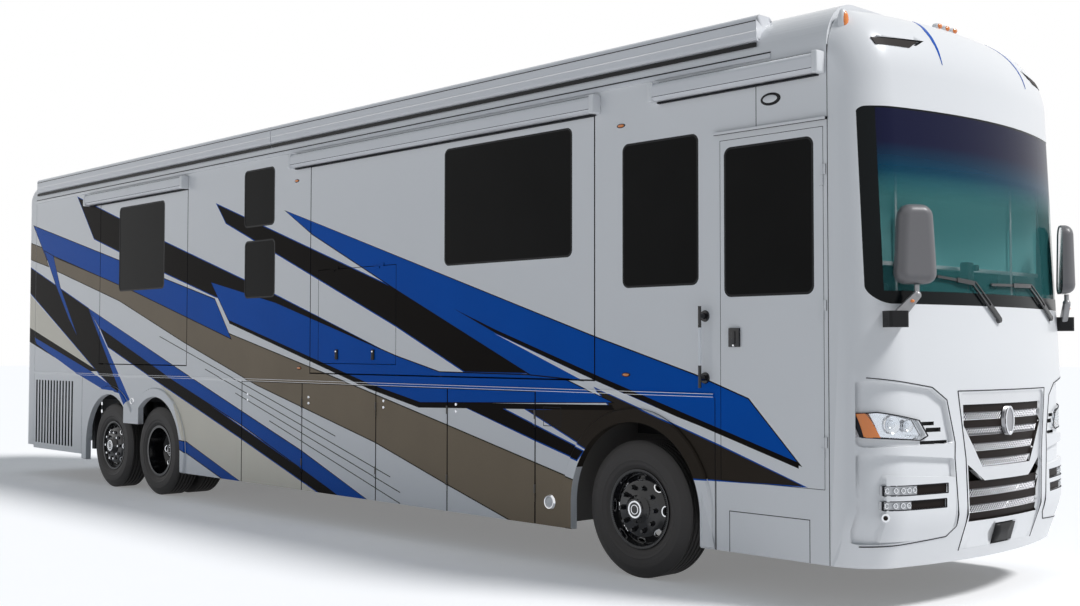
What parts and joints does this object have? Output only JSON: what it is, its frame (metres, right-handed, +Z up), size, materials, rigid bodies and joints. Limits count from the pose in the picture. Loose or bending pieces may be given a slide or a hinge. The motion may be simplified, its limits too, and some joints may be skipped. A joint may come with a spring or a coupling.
{
  "type": "motorhome",
  "caption": "Large rear-engined motorhome coach with slide-out rooms, luggage bay doors, entry door, steered front axle, twin drive wheels and a tag axle.",
  "frame": {"origin": "on the ground under the middle of the overall box", "axes": "+X towards the nose, +Y towards the left side, +Z up"},
  "size_m": [13.8762, 2.78, 4.13],
  "materials": {
    "body_white": "pearl gloss",
    "roof_white": "satin",
    "trim_dark": "satin",
    "tinted_glass": "tinted",
    "dark_glass": "dark tint",
    "grille_silver": "satin silver and dark brown",
    "lamp_lens": "clear",
    "amber_lens": "gloss",
    "red_lens": "gloss",
    "mirror_shell": "gloss",
    "black_plastic": "matte",
    "awning_white": "satin",
    "cast_engine": "matte",
    "chassis_black": "satin",
    "floor_panel": "matte",
    "dash_plastic": "matte",
    "seat_leather": "soft",
    "shade_fabric": "woven",
    "handle_chrome": "polished",
    "tyre_rubber": "matte",
    "rim_black": "gloss black with polished edges"
  },
  "bodies": {
    "coach": {"front_cap": "body_white", "right_wall": "body_white", "left_wall": "body_white", "roof": "roof_white", "rear_cap": "body_white", "side_skirts": "body_white", "belt_rails": "trim_dark", "windscreen": "tinted_glass", "window_glass": "dark_glass", "grille": "grille_silver", "front_lamps": "lamp_lens", "marker_lamps": "amber_lens", "tail_lamps": "red_lens", "mirrors": "mirror_shell", "wipers": "black_plastic", "awning_cases": "awning_white", "roof_units": "roof_white", "engine": "cast_engine", "axles": "chassis_black", "chassis_frame": "chassis_black", "body_floor": "floor_panel", "cab_floor": "floor_panel", "dashboard": "dash_plastic", "cab_seats": "seat_leather", "windscreen_shade": "shade_fabric", "grab_handle": "handle_chrome", "hitch_receiver": "chassis_black"},
    "knuckle_right": {"knuckle_right": "chassis_black"},
    "front_wheel_right": {"front_right_tyre": "tyre_rubber", "front_right_rim": "rim_black"},
    "drive_wheel_right": {"drive_right_tyre": "tyre_rubber", "drive_right_rim": "rim_black"},
    "tag_wheel_right": {"tag_right_tyre": "tyre_rubber", "tag_right_rim": "rim_black"},
    "bay_door_right_1": {"bay_door_right_1": "body_white"},
    "bay_door_right_2": {"bay_door_right_2": "body_white"},
    "bay_door_right_3": {"bay_door_right_3": "body_white"},
    "bay_door_right_4": {"bay_door_right_4": "body_white"},
    "knuckle_left": {"knuckle_left": "chassis_black"},
    "front_wheel_left": {"front_left_tyre": "tyre_rubber", "front_left_rim": "rim_black"},
    "drive_wheel_left": {"drive_left_tyre": "tyre_rubber", "drive_left_rim": "rim_black"},
    "tag_wheel_left": {"tag_left_tyre": "tyre_rubber", "tag_left_rim": "rim_black"},
    "bay_door_left_1": {"bay_door_left_1": "body_white"},
    "bay_door_left_2": {"bay_door_left_2": "body_white"},
    "bay_door_left_3": {"bay_door_left_3": "body_white"},
    "bay_door_left_4": {"bay_door_left_4": "body_white"},
    "entry_door": {"entry_door": "body_white", "entry_door_glass": "dark_glass"},
    "engine_door": {"engine_door": "body_white"},
    "slide_right_front": {"slide_right_front": "body_white", "slide_right_front_glass": "dark_glass"},
    "slide_right_rear": {"slide_right_rear": "body_white", "slide_right_rear_glass": "dark_glass"},
    "slide_left": {"slide_left": "body_white", "slide_left_glass": "dark_glass"},
    "tv_hatch": {"tv_hatch": "body_white"}
  },
  "joints": [
    {"name": "steer_right", "type": "hinge", "parent": "coach", "child": "knuckle_right", "pos_m": [4.59, -0.93, 0.515], "axis": [0, 0, 1], "range_deg": [-45, 45]},
    {"name": "front_wheel_right_spin", "type": "hinge", "parent": "knuckle_right", "child": "front_wheel_right", "pos_m": [4.59, -1.1125, 0.515], "axis": [0, 1, 0], "continuous": true},
    {"name": "drive_wheel_right_spin", "type": "hinge", "parent": "coach", "child": "drive_wheel_right", "pos_m": [-3.048, -1.1125, 0.515], "axis": [0, 1, 0], "continuous": true},
    {"name": "tag_wheel_right_spin", "type": "hinge", "parent": "coach", "child": "tag_wheel_right", "pos_m": [-4.248, -1.1125, 0.515], "axis": [0, 1, 0], "continuous": true},
    {"name": "bay_door_right_1_hinge", "type": "hinge", "parent": "coach", "child": "bay_door_right_1", "pos_m": [0.068, -1.301, 0.8], "axis": [0, 0, 1], "range_deg": [0, 100]},
    {"name": "bay_door_right_2_hinge", "type": "hinge", "parent": "coach", "child": "bay_door_right_2", "pos_m": [1.318, -1.301, 0.8], "axis": [0, 0, 1], "range_deg": [0, 100]},
    {"name": "bay_door_right_3_hinge", "type": "hinge", "parent": "coach", "child": "bay_door_right_3", "pos_m": [2.371, -1.301, 0.8], "axis": [0, 0, 1], "range_deg": [0, 100]},
    {"name": "bay_door_right_4_hinge", "type": "hinge", "parent": "coach", "child": "bay_door_right_4", "pos_m": [3.497, -1.301, 0.8], "axis": [0, 0, 1], "range_deg": [0, 100]},
    {"name": "steer_left", "type": "hinge", "parent": "coach", "child": "knuckle_left", "pos_m": [4.59, 0.93, 0.515], "axis": [0, 0, 1], "range_deg": [-45, 45]},
    {"name": "front_wheel_left_spin", "type": "hinge", "parent": "knuckle_left", "child": "front_wheel_left", "pos_m": [4.59, 1.1125, 0.515], "axis": [0, 1, 0], "continuous": true},
    {"name": "drive_wheel_left_spin", "type": "hinge", "parent": "coach", "child": "drive_wheel_left", "pos_m": [-3.048, 1.1125, 0.515], "axis": [0, 1, 0], "continuous": true},
    {"name": "tag_wheel_left_spin", "type": "hinge", "parent": "coach", "child": "tag_wheel_left", "pos_m": [-4.248, 1.1125, 0.515], "axis": [0, 1, 0], "continuous": true},
    {"name": "bay_door_left_1_hinge", "type": "hinge", "parent": "coach", "child": "bay_door_left_1", "pos_m": [0.068, 1.301, 0.8], "axis": [0, 0, -1], "range_deg": [0, 100]},
    {"name": "bay_door_left_2_hinge", "type": "hinge", "parent": "coach", "child": "bay_door_left_2", "pos_m": [1.318, 1.301, 0.8], "axis": [0, 0, -1], "range_deg": [0, 100]},
    {"name": "bay_door_left_3_hinge", "type": "hinge", "parent": "coach", "child": "bay_door_left_3", "pos_m": [2.371, 1.301, 0.8], "axis": [0, 0, -1], "range_deg": [0, 100]},
    {"name": "bay_door_left_4_hinge", "type": "hinge", "parent": "coach", "child": "bay_door_left_4", "pos_m": [3.497, 1.301, 0.8], "axis": [0, 0, -1], "range_deg": [0, 100]},
    {"name": "entry_door_hinge", "type": "hinge", "parent": "coach", "child": "entry_door", "pos_m": [6.285, -1.301, 1.9], "axis": [0, 0, 1], "range_deg": [0, 100]},
    {"name": "engine_door_hinge", "type": "hinge", "parent": "coach", "child": "engine_door", "pos_m": [-6.911, 0, 1.33], "axis": [0, 1, 0], "range_deg": [0, 90]},
    {"name": "slide_right_front_travel", "type": "slide", "parent": "coach", "child": "slide_right_front", "axis": [0, -1, 0], "range_m": [0, 0.7]},
    {"name": "slide_right_rear_travel", "type": "slide", "parent": "coach", "child": "slide_right_rear", "axis": [0, -1, 0], "range_m": [0, 0.7]},
    {"name": "slide_left_travel", "type": "slide", "parent": "coach", "child": "slide_left", "axis": [0, 1, 0], "range_m": [0, 0.7]},
    {"name": "tv_hatch_hinge", "type": "hinge", "parent": "slide_right_front", "child": "tv_hatch", "pos_m": [0.988, -1.301, 2.493], "axis": [-1, 0, 0], "range_deg": [0, 90]}
  ],
  "couplings": [
    {"joint": "steer_left", "follows": "steer_right", "ratio": 1}
  ]
}
